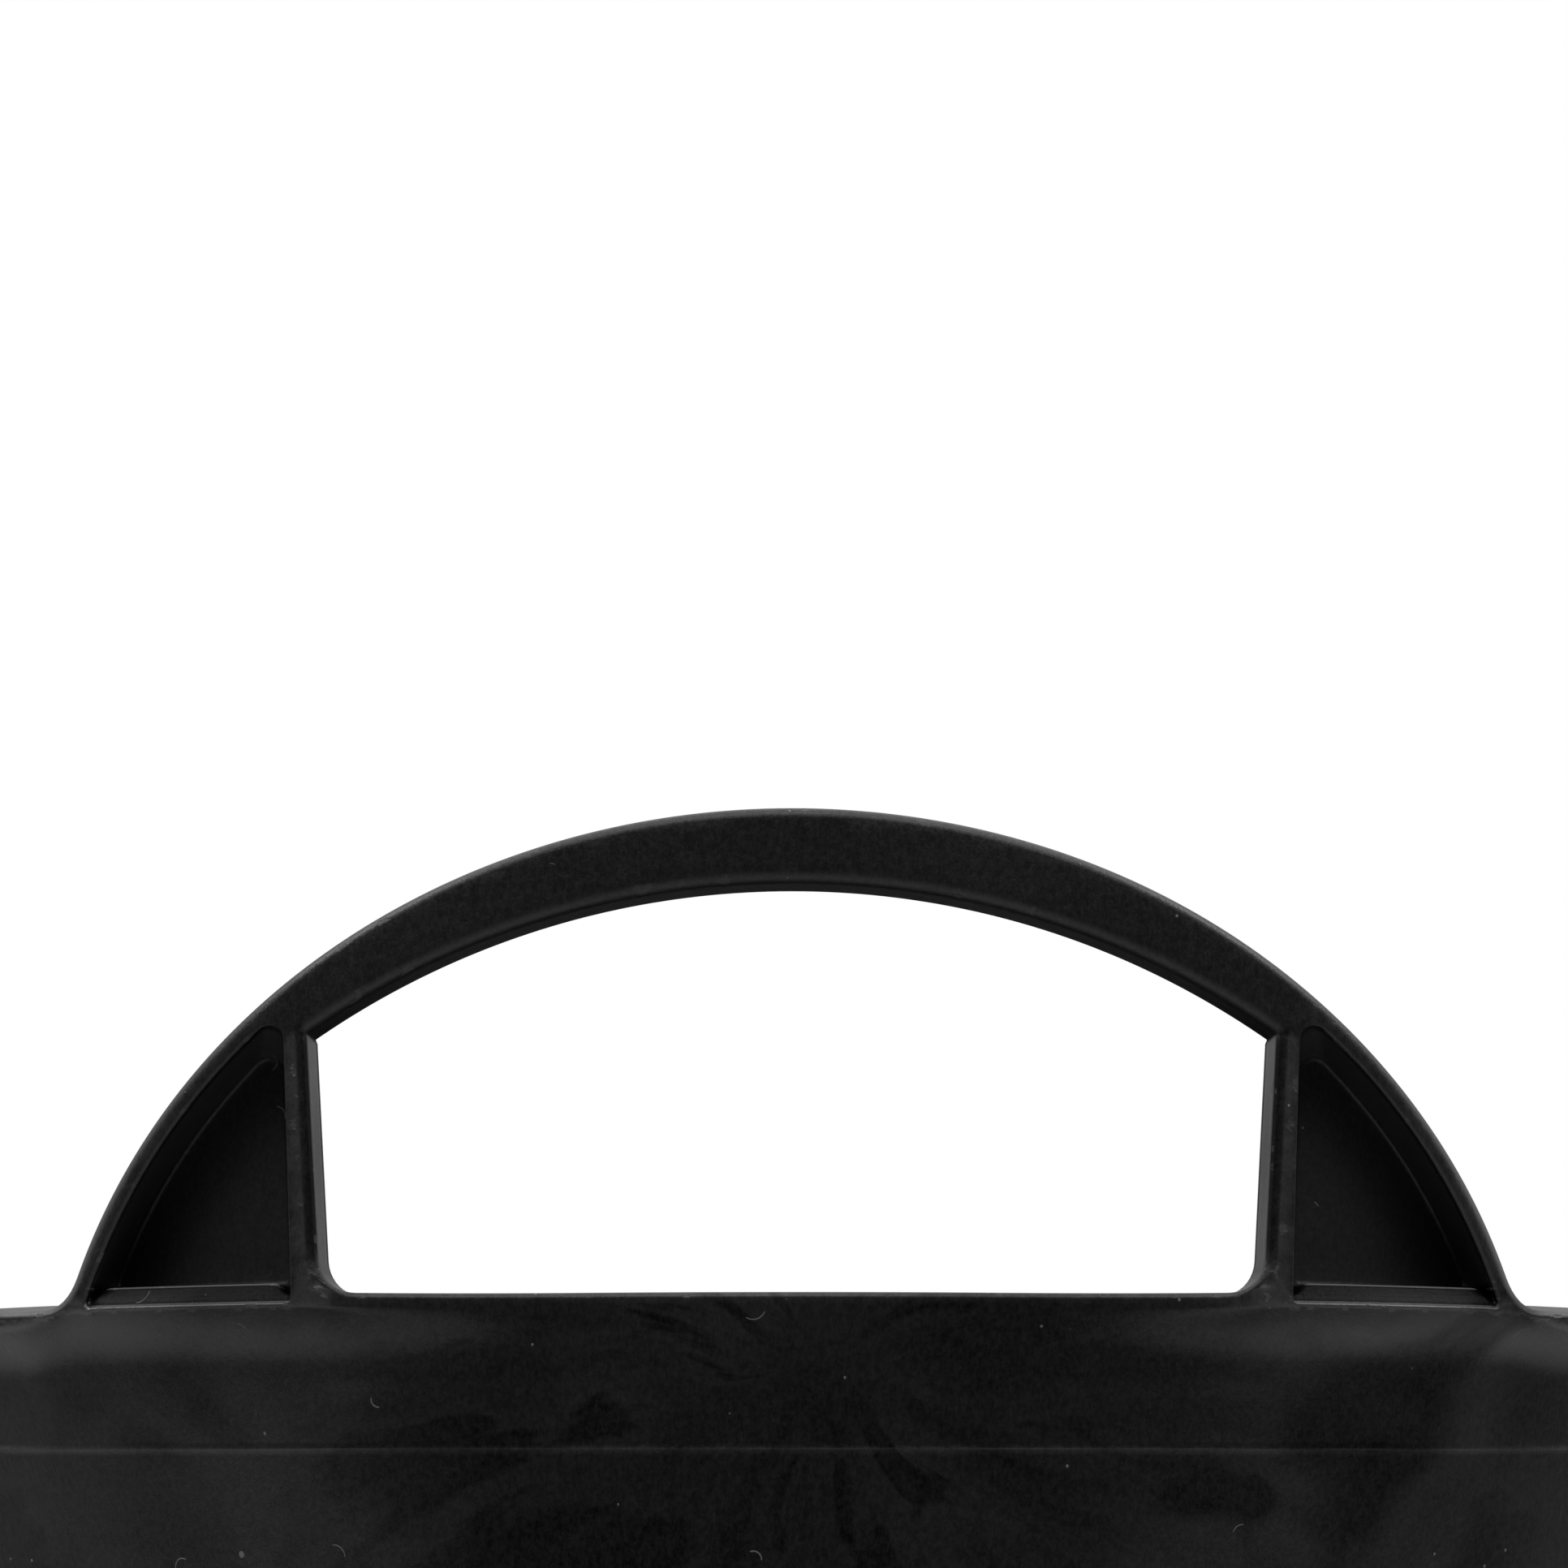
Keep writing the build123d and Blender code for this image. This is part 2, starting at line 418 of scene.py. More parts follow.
def add_pocket(m, side):
    """Sinks one pocket into the grip and returns the ring on the grip's face that bounds it."""
    mouth = pocket_outline(RIB, 0.0, POCKET_LEDGE, 2.7, 1.0)
    floor = pocket_outline(RIB + POCKET_DRAFT, 1.5, POCKET_LEDGE + LEDGE_RISE, 3.6, 1.6)
    mouth_out = -left_normals(mouth, True)
    floor_in = left_normals(floor, True)
    # The mouth is eased widely under the arch, a little above the ledge and hardly at all at the post.
    lip = 0.2 + 1.0 * np.maximum(0, mouth_out[:, :1]) + 0.4 * np.maximum(0, -mouth_out[:, 1:])
    hollow = 1.2  # rounding between the pocket's sides and its web
    depth = LIP_REACH
    stages = []
    for turn in np.linspace(0, math.radians(82), 6):
        eased = mouth + mouth_out * lip * (1 - math.sin(turn))
        stages.append((eased, lip[:, 0] * (1 - math.cos(turn))))
    lower = np.maximum(0, -mouth_out[:, 1:]) ** 2
    for sunk in (0.9, 1.2, 1.6, 1.9, LEDGE_DEPTH, 2.4, 4.0, 6.0, 8.0, 10.0):
        share = sunk / (depth - hollow)
        share = mix(share, min(1, sunk / LEDGE_DEPTH), lower)
        stages.append((mix(mouth, floor, share), np.maximum(lip[:, 0] + 0.04 * sunk, sunk)))
    for turn in np.linspace(math.radians(8), math.pi / 2, 6):
        inward = floor_in * hollow * (1 - math.cos(turn))
        stages.append((floor + inward, depth - hollow * (1 - math.sin(turn))))
    rings = []
    for outline, sunk in stages:
        rings.append(m.row(side * outline[:, 0], outline[:, 1], LIP_RADIUS - sunk))
    for a, b in zip(rings, rings[1:]):
        m.bridge(a, b, closed=True)
    spots = grid(POST_OUTER, ARCH_HALF_WIDTH, 0, 46, STEP, STEP) * (side, 1)
    m.fill([rings[-1]], spots, lambda x, z: MOUTH_RADIUS)
    return rings[0]


def add_opening(m):
    """The edge faces round the hand opening. Returns its rings on the outer and the inner face."""
    outline, kind = opening_outline()
    normals = left_normals(outline, True)
    x, z = outline.T
    front = np.interp(kind, (0, 1, 2), (1.0, 2.0, 2.0))
    back = np.interp(kind, (0, 1, 2), (1.2, 1.2, 6.0))
    groove = np.interp(kind, (0, 1, 2), (0.0, 0.3, 0.0))
    bevel = np.interp(kind, (0, 1, 2), (0.0, 1.0, 0.0))
    depth = outer_radius(x, z) - INNER_RADIUS
    depths, offsets = edge_section(front, back, depth, 0.0, groove, bevel)
    rings = []
    for s, o in zip(depths, offsets):
        p = outline + normals * o[:, None]
        rings.append(m.row(p[:, 0], p[:, 1], depth + INNER_RADIUS - s))
    for a, b in zip(rings, rings[1:]):
        m.bridge(a, b, closed=True)
    return rings[0], rings[-1]


def add_rim_and_arch(m):
    """The edge face over the arch and along the rim. Returns all its rings, outer face first."""
    outline, rimness = arch_outline()
    normals = left_normals(outline, False)
    front = mix(EDGE, 1.2, rimness)
    back = mix(BACK_EDGE, 1.6, rimness)
    depths, offsets = edge_section(front, back, LIP_REACH + WALL, LIP_DROP * rimness, 0.0)
    rings = []
    for s, o in zip(depths, offsets):
        p = outline + normals * o[:, None]
        rings.append(m.row(p[:, 0], p[:, 1], LIP_RADIUS - s))
    for a, b in zip(rings, rings[1:]):
        m.bridge(a, b)
    return rings


def side_columns():
    """Shares of the way from the sector's edge to the mould's split at the side, the last one narrow."""
    return np.r_[np.linspace(0, 1, 38)[1:-1], 0.997, 1.0]


def parting_rows():
    """Section of the outside from the collar to just below the parting line, with its small ridge."""
    line = PARTING_LINE
    heights = [COLLAR, -19, -22, line + 1.2, line + 0.22, line + 0.08]
    heights += [line - 0.08, line - 0.22, line - 1.2]
    ridge = {line + 0.08: PARTING_RIDGE, line - 0.08: PARTING_RIDGE}
    return [(float(wall_radius(z)) + ridge.get(z, 0.0), z) for z in heights]


def base_rows(foot):
    """Section of the base from the foot ring inward: its step, a witness ring and the gate's nub."""
    lifted = foot + FOOT_LIFT
    ring = FOOT_RING_INNER
    rows = [(FOOT_RING_OUTER, foot), (ring + 1, foot), (ring + 0.3, foot + 0.3)]
    rows += [(ring - 0.6, lifted - 0.4), (ring - 1.3, lifted)]
    rows += [(r, lifted) for r in (128, 116, 104, 92, 80, 68)]
    rows += [(60.6, lifted), (60.2, lifted + 0.5), (59.2, lifted + 0.5), (58.8, lifted)]
    rows += [(r, lifted) for r in (48, 36, 24, 14, 8, 5)]
    return rows + [(3.6, lifted - 0.2), (2.8, lifted - 1.3), (1.6, lifted - 1.7)]


def floor_rows(floor):
    """Section of the floor inside the tub, from its middle outward, with a fine witness ring."""
    rows = [(4, floor), (12, floor), (22, floor), (24.6, floor), (25.0, floor - 0.4)]
    rows += [(25.6, floor - 0.4), (26.0, floor), (29, floor)]
    return rows + [(r, floor) for r in (40, 52, 64, 76, 88, 100, 112, 124, 136)]


def body_profile():
    """Section of the tub below the collar as (radius, height).

    Returns the outside, from the collar down and over the base, the point in the middle of the base,
    the inside, from the middle of the floor outward and up, and the point in the middle of the floor.
    """
    foot = -RIM
    floor = foot + FOOT_LIFT + FLOOR_THICKNESS
    wall_top = (MOUTH_RADIUS, 0)
    corner = round_corner(wall_top, (FOOT_RADIUS, foot), (0, foot), FOOT_CORNER, 12)
    lower = straight((float(wall_radius(-32)), -32), corner[0], 7.0)
    inner_top = (MOUTH_RADIUS - WALL, 0)
    inner_foot = (FOOT_RADIUS + 0.4 - WALL, floor)
    inner_corner = round_corner(inner_top, inner_foot, (0, floor), FLOOR_CORNER, 10)
    upper = straight((float(wall_radius(COLLAR)) - WALL, COLLAR), inner_corner[0], 7.0)
    outer_side = [*parting_rows(), *map(tuple, lower), *map(tuple, corner[1:]), *base_rows(foot)]
    inner_side = [*floor_rows(floor), *map(tuple, inner_corner[::-1][:-1]), *map(tuple, upper[::-1])]
    return outer_side, (0.0, foot + FOOT_LIFT - 1.8), inner_side, (0.0, floor)


def waviness(x, z, radius):
    """The slight unevenness of a thick soft moulding, as a change of radius."""
    angle = np.arcsin(np.clip(x / np.maximum(radius, 1e-6), -1, 1))
    fade = smooth((math.pi / 2 - np.abs(angle)) / 0.35) * smooth((radius - 120) / 60)
    wave = (
        0.30 * np.sin(3.1 * angle + 0.9 + 0.011 * z)
        + 0.22 * np.sin(7.3 * angle - 1.7 + 0.019 * z)
        + 0.12 * np.sin(13.7 * angle + 0.6 - 0.037 * z)
        + 0.08 * np.sin(0.083 * z + 5.1 * angle)
    )
    return 0.8 * fade * wave


def make_half():
    """Half of the tub with its grip, from the middle of the left side round the front to the right."""
    m = Moulding()
    sector_x = np.linspace(-SECTOR, SECTOR, round(2 * SECTOR / STEP) + 1)
    shares = side_columns()
    collar_radius = float(wall_radius(COLLAR))
    side_angles = mix(math.asin(SECTOR / collar_radius), math.pi / 2, shares)
    angles = np.r_[-side_angles[::-1], np.arcsin(sector_x / collar_radius), side_angles]
    side = len(shares)

    # Below the collar
    outer_side, foot_centre, inner_side, floor_centre = body_profile()

    def lathe(profile, relief_of):
        rows = []
        for r, z in profile:
            full = r + relief_of(r * np.sin(angles), z)
            rows.append(m.row(full * np.sin(angles), z, full))
        return rows

    def swell(x, z):
        return relief(x, z) if z > -SWELLING_LENGTH - CREASE else 0.0

    outer_rows = lathe(outer_side, swell)
    inner_rows = lathe(inner_side, lambda x, z: 0.0)
    for rows in (outer_rows, inner_rows):
        for a, b in zip(rows, rows[1:]):
            m.bridge(a, b)
    for (r, z), ring in ((foot_centre, outer_rows[-1]), (floor_centre, inner_rows[0])):
        centre = m.row(0.0, z, r)[0]
        for a, b in zip(ring, ring[1:]):
            m.faces.append((a, b, centre))
    outer_collar = outer_rows[0]
    inner_collar = inner_rows[-1]

    # The grip's edge faces and pockets
    rings = add_rim_and_arch(m)
    opening_front, opening_back = add_opening(m)
    pockets = [add_pocket(m, s) for s in (-1, 1)]

    # Rows at the sector's sides, between the collar and the edge faces, shared by grip and lip
    def side_rows(ring, collar_row, radius_of, count):
        """Points up the sector's left and right sides, from just above the collar to below the ring.

        They bulge by a hair, because a straight row of points would give triangles without area.
        """
        rows = []
        for end, corner in ((0, side), (-1, len(angles) - 1 - side)):
            x0, z0, _ = m.points[collar_row[corner]]
            x1, z1, _ = m.points[ring[end]]
            share = np.linspace(0, 1, count + 2)[1:-1]
            bulge = 0.05 * np.sign(x0) * 4 * share * (1 - share)
            x = mix(x0, x1, share) + bulge
            z = mix(z0, z1, share)
            rows.append(m.row(x, z, radius_of(x, z)))
        return rows

    front_left, front_right = side_rows(rings[0], outer_collar, outer_radius, 12)
    back_left, back_right = side_rows(rings[-1], inner_collar, inner_radius, 6)

    # Outer face and inner face
    hollow_rows = -CREASE - (-COLLAR - 1 - CREASE) * np.linspace(0, 1, 16) ** 1.5
    columns = np.arange(-SECTOR + STEP / 2, SECTOR, STEP / 2)
    fine = np.array([(x, z) for z in hollow_rows for x in columns])
    coarse = grid(-SECTOR, SECTOR, 0.8, ARCH_TOP, STEP, STEP)
    sector_outer = outer_collar[side:len(angles) - side]
    loop = sector_outer + front_right + rings[0][::-1] + front_left[::-1]
    m.fill([loop, opening_front, *pockets], np.vstack([fine, coarse]), outer_radius, 0.35)
    sector_inner = inner_collar[side:len(angles) - side]
    loop = sector_inner + back_right + rings[-1][::-1] + back_left[::-1]
    m.fill([loop, opening_back], grid(-SECTOR, SECTOR, COLLAR + 3, ARCH_TOP, 3.2, 3.2), inner_radius)

    # The lip from each side of the sector to the split line
    for end, front, back in ((0, front_left, back_left), (-1, front_right, back_right)):
        sign = -1 if end == 0 else 1
        starts = [*front, *(ring[end] for ring in rings), *back[::-1]]
        rows = []
        for i in starts:
            x0, z0, radius = m.points[i]
            turned = mix(math.asin(abs(x0) / radius), math.pi / 2, shares)
            rows.append([i] + m.row(sign * radius * np.sin(turned), z0, radius))
        if sign < 0:
            below = outer_collar[:side + 1][::-1]
            above = inner_collar[:side + 1][::-1]
        else:
            below = outer_collar[-side - 1:]
            above = inner_collar[-side - 1:]
        stack = [below, *rows, above]
        for a, b in zip(stack, stack[1:]):
            m.bridge(a, b)
    return m


def mesh_object(name, m, turned):
    """A mesh from the moulding, closed at the split line and smooth but for the cut."""
    points = np.array(m.points)
    x, z, radius = points.T
    radius = radius + waviness(x, z, radius)
    y = -np.sqrt(np.maximum(0, radius**2 - x**2))
    y[np.abs(x) > radius - 1e-6] = 0
    co = np.c_[x, y, z + RIM] * MM
    mesh = bpy.data.meshes.new(name)
    mesh.from_pydata(co.tolist(), [], m.faces)
    b = bmesh.new()
    b.from_mesh(mesh)
    bmesh.ops.remove_doubles(b, verts=b.verts, dist=1e-6)
    cut = [e for e in b.edges if e.is_boundary]
    caps = bmesh.ops.edgeloop_fill(b, edges=cut)["faces"]
    bmesh.ops.triangulate(b, faces=caps)
    bmesh.ops.recalc_face_normals(b, faces=b.faces)
    for f in b.faces:
        f.smooth = True
    for e in cut:
        e.smooth = False
    if turned:
        bmesh.ops.rotate(b, verts=b.verts, matrix=Matrix.Rotation(math.pi, 3, "Z"))
    b.to_mesh(mesh)
    b.free()
    rest = mesh.attributes.new("rest", "FLOAT_VECTOR", "POINT")
    place = np.zeros(len(mesh.vertices) * 3, np.float32)
    mesh.vertices.foreach_get("co", place)
    rest.data.foreach_set("vector", place)
    obj = bpy.data.objects.new(name, mesh)
    bpy.context.scene.collection.objects.link(obj)
    return obj


class Nodes:
    """Short calls for building a node tree."""

    def __init__(self, tree):
        self.tree = tree

    def add(self, kind, inputs=(), **settings):
        """A node, with its inputs linked from sockets or set to values, by name or number."""
        node = self.tree.nodes.new(kind)
        for name, value in settings.items():
            setattr(node, name, value)
        for key, value in dict(inputs).items():
            if isinstance(value, bpy.types.NodeSocket):
                self.tree.links.new(value, node.inputs[key])
            else:
                node.inputs[key].default_value = value
        return node

    def link(self, socket, target):
        self.tree.links.new(socket, target)

    def math(self, operation, a, b=0.0):
        return self.add("ShaderNodeMath", {0: a, 1: b}, operation=operation).outputs[0]

    def product(self, value, *factors):
        for factor in factors:
            value = self.math("MULTIPLY", value, factor)
        return value

    def weighted(self, total, *terms):
        """A total plus each term's value times its weight."""
        for value, weight in terms:
            total = self.math("ADD", total, self.product(value, weight))
        return total

    def range(self, value, low, high, to_low=0.0, to_high=1.0):
        inputs = {"Value": value, "From Min": low, "From Max": high, "To Min": to_low, "To Max": to_high}
        return self.add("ShaderNodeMapRange", inputs, interpolation_type="SMOOTHSTEP").outputs[0]

    def fall(self, value, low, high):
        """1 up to low, falling to 0 at high."""
        return self.range(value, low, high, 1.0, 0.0)

    def line(self, value, middle, half, fade):
        """1 where the value is within half of the middle, and 0 beyond fade."""
        gap = self.math("ABSOLUTE", self.math("SUBTRACT", value, middle))
        return self.fall(gap, half, fade)

    def mix(self, share, a, b):
        return self.add("ShaderNodeMix", {0: share, 2: a, 3: b}).outputs[0]

    def vector(self, operation, a, b=(0, 0, 0)):
        return self.add("ShaderNodeVectorMath", {0: a, 1: b}, operation=operation).outputs[0]

    def length(self, a):
        return self.add("ShaderNodeVectorMath", {0: a}, operation="LENGTH").outputs["Value"]

    def times(self, a, factor):
        inputs = {0: a, "Scale": factor}
        return self.add("ShaderNodeVectorMath", inputs, operation="SCALE").outputs[0]

    def parts(self, vector):
        """The three coordinates of a vector."""
        return self.add("ShaderNodeSeparateXYZ", {0: vector}).outputs

    def scaled(self, vector, scale, turn=(0, 0, 0)):
        inputs = {"Vector": vector, "Scale": scale, "Rotation": turn}
        return self.add("ShaderNodeMapping", inputs).outputs[0]

    def noise(self, vector, scale, detail=2.0, roughness=0.5, distortion=0.0):
        inputs = {
            "Vector": vector, "Scale": scale, "Detail": detail,
            "Roughness": roughness, "Distortion": distortion,
        }
        return self.add("ShaderNodeTexNoise", inputs).outputs["Fac"]

    def cells(self, vector, scale):
        return self.add("ShaderNodeTexVoronoi", {"Vector": vector, "Scale": scale, "Randomness": 1.0})


def grip_place(n, place):
    """In millimetres: distance from the plane through both grips, height above the rim, radius."""
    parts = n.parts(place)
    out = n.product(n.math("ABSOLUTE", parts[0]), 1 / MM)
    up = n.product(n.math("SUBTRACT", parts[2], RIM * MM), 1 / MM)
    radius = n.product(n.length(n.vector("MULTIPLY", place, (1, 1, 0))), 1 / MM)
    return out, up, radius


def flow_marks(n, place, out, up):
    """Dull and glossy lobes left by the melt, fanning out below the middle of each grip."""
    middle = (0.005, 0.0, RIM * MM - 0.0125)
    flat = n.vector("MULTIPLY", n.vector("SUBTRACT", place, middle), (1, 0, 1))
    far = n.length(flat)
    swirl = n.add("ShaderNodeTexNoise", {"Vector": place, "Scale": 17.0, "Detail": 2.0}).outputs["Color"]
    swirl = n.times(n.vector("SUBTRACT", swirl, (0.5, 0.5, 0.5)), 0.030)
    spoke = n.vector("NORMALIZE", n.vector("ADD", flat, swirl))
    wide = n.noise(polar(n, spoke, 2.2, far, 15.0), 1.5, 3.0, 0.55)
    thin = n.noise(polar(n, spoke, 13.0, far, 16.0), 1.5, 3.0, 0.6)
    fan = n.weighted(one_sided(n, wide, 2.6, 0.22), (n.range(thin, 0.35, 0.65), 0.14))
    round_about = n.vector("ADD", place, swirl)
    patches = one_sided(n, n.noise(round_about, 17.0, 3.0, 0.45, 0.6), 2.6, 0.5)
    near = n.product(n.range(far, 0.004, 0.018), n.range(far, 0.03, 0.11, 0.75, 0.2))
    broad = n.range(n.noise(place, 9.0, 2.0), 0.36, 0.64, 0.4, 1.35)
    # Weaker toward the middle, where out is below 100 mm: painted shade that dims the wall's middle,
    # standing in for the darker reflection there.
    broad = n.product(broad, n.range(out, 10.0, 100.0, 0.6, 1.0))
    marks = n.product(n.mix(near, patches, fan), broad)

    # They are weak on the grips and fade to an even gloss down the wall
    on_grip = n.range(up, -4.0, 3.0, 0.0, 0.75)
    on_body = n.range(up, -130.0, -40.0, 0.62, 0.0)
    return n.mix(n.math("ADD", on_grip, on_body), marks, 0.24)


def polar(n, spoke, turns, far, rings):
    """Coordinates round and away from a middle, without a seam."""
    along = n.add("ShaderNodeCombineXYZ", {1: n.product(far, rings)}).outputs[0]
    return n.vector("ADD", n.times(spoke, turns), along)


def one_sided(n, value, bands, edge):
    """Bands that start at an edge and fade away on their other side."""
    saw = n.math("FRACT", n.product(value, bands))
    return n.product(n.range(saw, 0.0, edge), n.math("SUBTRACT", 1.0, saw))


def lint(n, place):
    """Fine curved fibres that cling to the plastic: short arcs, one in some cells of a coarse foam."""
    cells = n.cells(place, 55.0)
    ring = n.line(cells.outputs["Distance"], 0.115, 0.0025, 0.0055)
    hue = n.vector("NORMALIZE", n.vector("SUBTRACT", cells.outputs["Color"], (0.5, 0.5, 0.5)))
    local = n.vector("SUBTRACT", place, cells.outputs["Position"])
    toward = n.add("ShaderNodeVectorMath", {0: local, 1: hue}, operation="DOT_PRODUCT")
    return n.product(ring, n.range(toward.outputs["Value"], 0.00125, 0.00130))


def specks(n, place):
    """Dust: the hearts of a few cells."""
    cells = n.cells(place, 210.0)
    chosen = n.add("ShaderNodeSeparateColor", {0: cells.outputs["Color"]}).outputs[0]
    return n.product(n.fall(cells.outputs["Distance"], 0.04, 0.07), n.range(chosen, 0.75, 0.76))


def scratches(n, place):
    """Fine scratches in three directions, in patches: stretched noise cut to thin lines."""
    found = 0.0
    for turn, length in ((0.6, 24.0), (-0.75, 34.0), (1.35, 20.0)):
        lines = n.noise(n.scaled(place, (900, 900, length), (0.0, turn, 0.35)), 1.0, 2.0, 0.7)
        found = n.math("MAXIMUM", found, n.range(lines, 0.70, 0.76))
    return n.product(found, n.range(n.noise(place, 31.0, 2.0), 0.48, 0.62))


def inside_pocket(n, out, radius):
    """1 in the outer half of a pocket's depth, between the post and the arch's root."""
    across = n.product(n.range(out, POST_OUTER - 0.3, POST_OUTER + 0.5), n.fall(out, 122.0, 124.0))
    return n.product(across, n.range(radius, 217.0, 219.0))


def painted_ledge_highlights(n, up, radius, pocket):
    """Painted highlights along the two long edges of a pocket's ledge, the front one weaker."""
    back = n.line(up, POCKET_LEDGE + LEDGE_RISE - 0.1, 0.1, 0.24)
    back = n.product(back, n.range(radius, LIP_RADIUS - 3.2, LIP_RADIUS - 2.8))
    front = n.product(n.line(up, POCKET_LEDGE, 0.08, 0.2), 0.45)
    return n.product(n.math("MAXIMUM", back, front), pocket)


def painted_pocket_side_light(n, out, up, radius):
    """1 on the side of a pocket below the arch, where painted light lifts its shade."""
    deep = n.product(n.range(radius, 212.6, 213.4), n.fall(radius, 223.0, 224.2))
    across = n.math("DIVIDE", out, ARCH_HALF_WIDTH - RIB / 2)
    over = n.math("DIVIDE", n.math("SUBTRACT", up, ARCH_CENTRE), ARCH_HALF_HEIGHT - RIB / 2)
    around = n.math("ADD", n.math("POWER", across, 2.0), n.math("POWER", over, 2.0))
    below_arch = n.product(n.range(up, 2.0, 3.0), n.fall(around, 0.99, 1.01))
    return n.product(deep, below_arch, n.range(out, POST_OUTER + 1.0, POST_OUTER + 4.0))


def painted_pocket_floor_light(n, up, radius):
    """1 on the webs at the bottom of the pockets, where painted light lifts their shade."""
    web = n.product(n.range(radius, 210.5, 211.0), n.fall(radius, 213.0, 214.5))
    return n.product(web, n.range(up, 0.0, 1.0))


def sheen_with_painted_shade(n, out, up, radius, pocket):
    """1 but on the ledges, which are duller and darker, and on the posts' front inner edges, which get
    painted shade: a darker, duller band.
    """
    ledge = n.product(n.fall(up, 1.5, 1.8), n.range(up, POCKET_LEDGE - 0.1, POCKET_LEDGE + 0.3), pocket)
    # Painted shade: a dark band along each post's front inner edge.
    post = n.weighted(POST_FOOT, (up, POST_LEAN))
    edge = n.product(n.fall(n.math("SUBTRACT", out, post), 0.0, 2.4), n.range(radius, 222.5, 223.5))
    edge = n.product(edge, n.range(up, 3.0, 9.0), n.fall(up, 41.0, 45.0))
    dulled_and_shaded = n.math("MAXIMUM", n.product(ledge, 0.9), n.product(edge, 0.6))
    return n.math("SUBTRACT", 1.0, dulled_and_shaded)


def parting_line_highlight(n, place, up):
    """A painted highlight on the line where the mould's slides meet its lower block, stronger in some
    stretches.
    """
    strength = n.range(n.noise(place, 60.0), 0.3, 0.7, 0.3, 1.0)
    return n.product(n.line(up, PARTING_LINE, 0.06, 0.18), strength)


def edge_wear_and_highlights(n, place, up):
    """Rubbed and nicked edges of lip and grip, by how sharply the mesh bends, the pale rubbed edges also
    serving as painted edge highlights. Not beside the halves' cut.
    """
    along = n.math("ABSOLUTE", n.parts(place)[1])
    handled = n.product(n.range(along, 0.006, 0.012), n.range(up, -12.0, -6.0))
    sharp = n.mix(handled, 0.5, n.add("ShaderNodeNewGeometry").outputs["Pointiness"])
    # Pale rubbed edges, made strong enough to serve as painted highlights along the edges.
    burnished_and_highlit = n.range(sharp, 0.505, 0.535)
    nicks = n.product(n.range(sharp, 0.51, 0.54), n.range(n.noise(place, 240.0, 3.0, 0.6), 0.58, 0.66))
    return burnished_and_highlit, nicks


def plastic():
    """Satin black polyethylene: dark, with uneven gloss from the melt's flow, fine grain and scuffs."""
    mat = bpy.data.materials.new("black_polyethylene")
    mat.use_nodes = True
    n = Nodes(mat.node_tree)
    shader = mat.node_tree.nodes["Principled BSDF"]
    place = n.add("ShaderNodeAttribute", attribute_name="rest").outputs["Vector"]
    out, up, radius = grip_place(n, place)

    marks = flow_marks(n, place, out, up)
    strands = n.noise(n.scaled(place, (1.0, 1.0, 0.4), (0.0, 0.3, 0.0)), 1700.0, 3.0, 0.65, 0.8)
    mottle = n.noise(place, 850.0, 4.0, 0.7, 0.6)
    grain = n.noise(place, 1900.0, 2.0, 0.6)
    fine = n.range(n.weighted(n.product(strands, 0.45), (mottle, 0.55)), 0.34, 0.66)
    rubbed = scratches(n, place)
    burnished_and_highlit, nicks = edge_wear_and_highlights(n, place, up)
    dust = n.math("MAXIMUM", specks(n, place), lint(n, place))
    pocket = inside_pocket(n, out, radius)
    shine_with_painted_shade = sheen_with_painted_shade(n, out, up, radius, pocket)

    # Colour: near black, a little greyer where the surface is rubbed, pale where dust lies; painted light
    # in the pockets, painted highlights on edges, ledges and parting line, painted shade on the posts' edges
    # Painted light: the pockets' webs and sides are lifted out of their shade.
    floor = painted_pocket_floor_light(n, up, radius)
    side = painted_pocket_side_light(n, out, up, radius)
    grey = n.weighted(0.0008, (marks, 0.010), (fine, 0.0022), (burnished_and_highlit, 0.035))
    grey = n.product(n.weighted(grey, (floor, 0.012), (side, 0.030)), shine_with_painted_shade)
    # Real scratches, then painted highlights along the pockets' ledge edges.
    grey = n.weighted(grey, (rubbed, 0.010), (painted_ledge_highlights(n, up, radius, pocket), 0.11))
    # A painted highlight on the parting line; nicks and dust are real marks.
    grey = n.weighted(grey, (parting_line_highlight(n, place, up), 0.03), (nicks, 0.050), (dust, 0.16))
    colour = n.add("ShaderNodeCombineColor", {0: grey, 1: grey, 2: grey})
    n.link(colour.outputs[0], shader.inputs["Base Color"])

    # Gloss: strongest on the fresh side of each flow mark, broken up by strands and mottle
    gloss = n.weighted(0.05, (marks, 1.15), (fine, 0.22), (rubbed, 0.15))
    n.link(n.product(gloss, shine_with_painted_shade), shader.inputs["Specular IOR Level"])
    rough = n.weighted(0.36, (fine, 0.08), (nicks, 0.2), (marks, -0.05))
    n.link(rough, shader.inputs["Roughness"])

    # Fine relief: grain, scratches and nicks cut in, dust standing out
    relief_height = n.weighted(
        n.product(grain, 0.4), (strands, 0.7), (mottle, 0.8), (rubbed, -0.6), (nicks, -2.0), (dust, 1.5)
    )
    bump = n.add("ShaderNodeBump", {"Height": relief_height, "Distance": 0.00010, "Strength": 0.7})
    n.link(bump.outputs[0], shader.inputs["Normal"])
    return mat


def softbox(name, place, aim, size, power):
    lamp = bpy.data.lights.new(name, "AREA")
    lamp.shape = "RECTANGLE"
    lamp.size, lamp.size_y = size
    lamp.energy = power
    obj = bpy.data.objects.new(name, lamp)
    obj.location = place
    obj.rotation_euler = (Vector(aim) - Vector(place)).to_track_quat("-Z", "Y").to_euler()
    bpy.context.scene.collection.objects.link(obj)


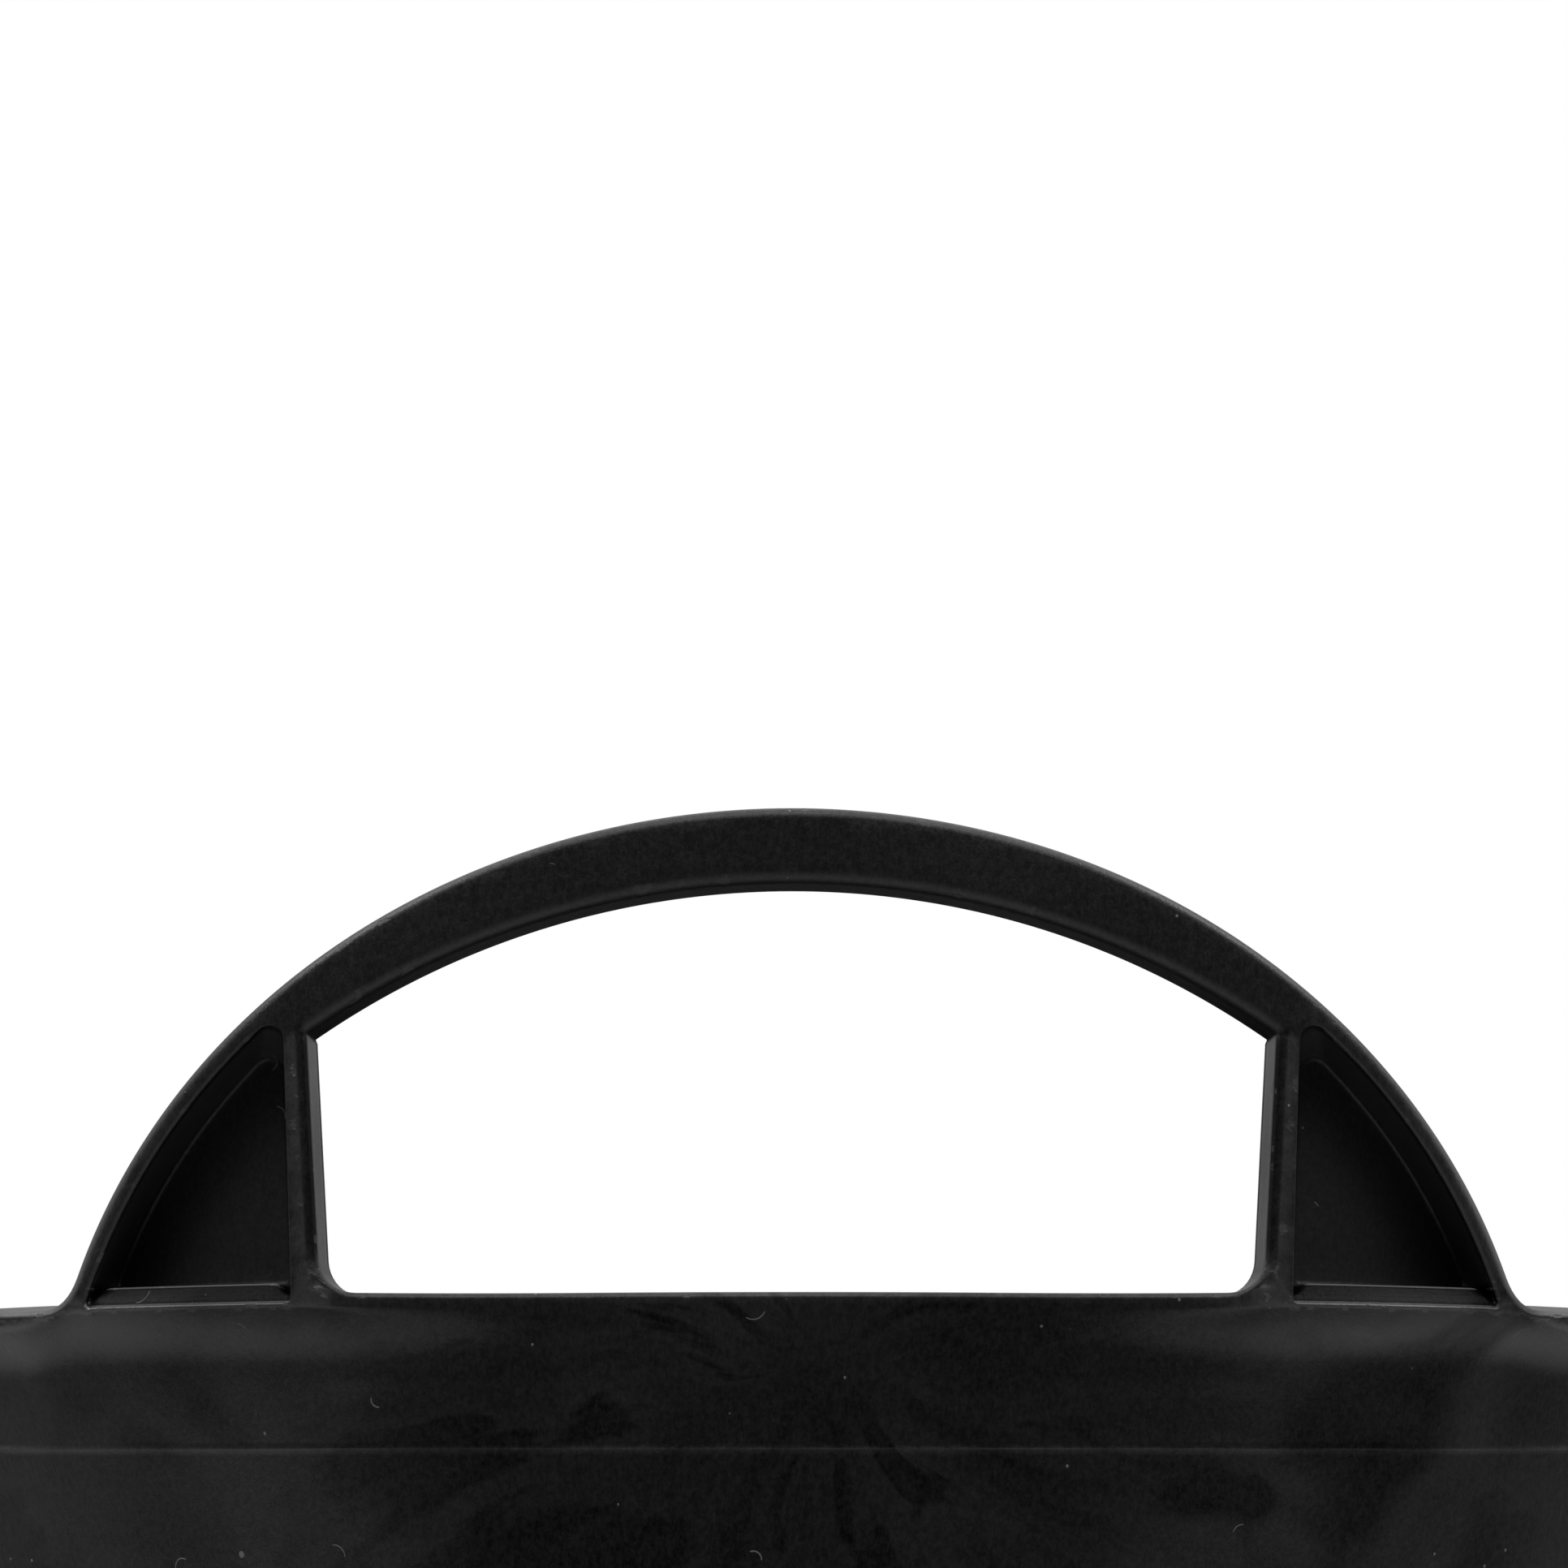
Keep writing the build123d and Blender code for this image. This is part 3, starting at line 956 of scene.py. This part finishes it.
def surroundings():
    """White behind the object for the camera.

    What the plastic reflects is brightest above and behind the tub, and dimmest in front of it.
    """
    world = bpy.data.worlds.new("studio")
    bpy.context.scene.world = world
    world.use_nodes = True
    background = world.node_tree.nodes["Background"]
    n = Nodes(world.node_tree)
    direction = n.parts(n.add("ShaderNodeTexCoord").outputs["Generated"])
    back = n.range(direction[1], -0.35, 0.85, 0.11, 0.46)
    above = n.range(direction[2], 0.3, 0.9, 0.0, 1.1)
    seen = n.add("ShaderNodeLightPath").outputs["Is Camera Ray"]
    n.link(n.mix(seen, n.math("ADD", back, above), 1.0), background.inputs["Strength"])
    background.inputs["Color"].default_value = (1, 1, 1, 1)


def pale_floor():
    """Pale to the camera, fading into the background far from the tub. In reflections it is dimmer, with a
    painted pool of light: pale near the tub and dark far from it.
    """
    mesh = bpy.data.meshes.new("floor")
    reach = 6.0
    corners = [(-reach, -reach, 0), (reach, -reach, 0), (reach, reach, 0), (-reach, reach, 0)]
    mesh.from_pydata(corners, [], [(0, 1, 2, 3)])
    floor = bpy.data.objects.new("floor", mesh)
    bpy.context.scene.collection.objects.link(floor)
    mat = bpy.data.materials.new("pale_floor")
    mat.use_nodes = True
    n = Nodes(mat.node_tree)
    shader = mat.node_tree.nodes["Principled BSDF"]
    position = n.add("ShaderNodeNewGeometry").outputs["Position"]
    away = n.length(position)
    painted_light_pool = n.range(away, 0.3, 1.1, 0.43, 0.04)
    seen = n.add("ShaderNodeLightPath").outputs["Is Camera Ray"]
    shade = n.add("ShaderNodeCombineColor", {k: n.mix(seen, painted_light_pool, 0.80) for k in range(3)})
    n.link(shade.outputs[0], shader.inputs["Base Color"])
    shader.inputs["Roughness"].default_value = 0.9
    clear = n.add("ShaderNodeBsdfTransparent").outputs[0]
    fade = n.product(seen, n.range(away, 0.6, 1.9))
    faded = n.add("ShaderNodeMixShader", {0: fade, 1: shader.outputs[0], 2: clear})
    n.link(faded.outputs[0], mat.node_tree.nodes["Material Output"].inputs["Surface"])
    mesh.materials.append(mat)


def studio():
    """Pale floor, white surroundings and soft light from both sides and above."""
    surroundings()
    pale_floor()
    aim = (0, 0, RIM * MM)
    large = (1.0, 1.4)
    small = (0.45, 0.6)
    softbox("left_softbox", (-1.9, 0.8, 0.8), aim, large, 2)
    softbox("right_softbox", (1.9, 0.8, 0.8), aim, large, 3)
    softbox("top_softbox", (0, -1.25, 1.85), aim, (2.2, 0.7), 8)
    softbox("upper_left_softbox", (-1.5, -0.2, 1.75), aim, small, 8)
    softbox("upper_right_softbox", (1.5, -0.2, 1.75), aim, small, 8)
    bpy.context.scene.view_settings.view_transform = "Standard"


def camera():
    """Just below the rim, close to the front grip, tilted up a little."""
    data = bpy.data.cameras.new("camera")
    obj = bpy.data.objects.new("camera", data)
    data.sensor_width = 36.0
    data.lens = 82.0
    distance = 594.0  # from the grip's face
    sideways = -1.3
    height = RIM - 28.0
    tilt = 10.73
    obj.location = (sideways * MM, -(LIP_RADIUS + distance) * MM, height * MM)
    obj.rotation_euler = (math.radians(90 + tilt), 0, 0)
    data.clip_start = 0.01
    # The photograph is cut out, and nothing shows through its hand opening, so this view ends behind
    # the front half.
    data.clip_end = (distance + 1.5 * LIP_RADIUS) * MM
    bpy.context.scene.collection.objects.link(obj)
    bpy.context.scene.camera = obj


half = make_half()
front_half = mesh_object("front_half", half, False)
rear_half = mesh_object("rear_half", half, True)
material = plastic()
for obj in (front_half, rear_half):
    obj.data.materials.append(material)
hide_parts("tub_shell", "front_handle")
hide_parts("tub_shell", "rear_handle")
for obj, body, sign in ((front_half, "front_handle", -1), (rear_half, "rear_handle", 1)):
    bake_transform(obj)

studio()
camera()
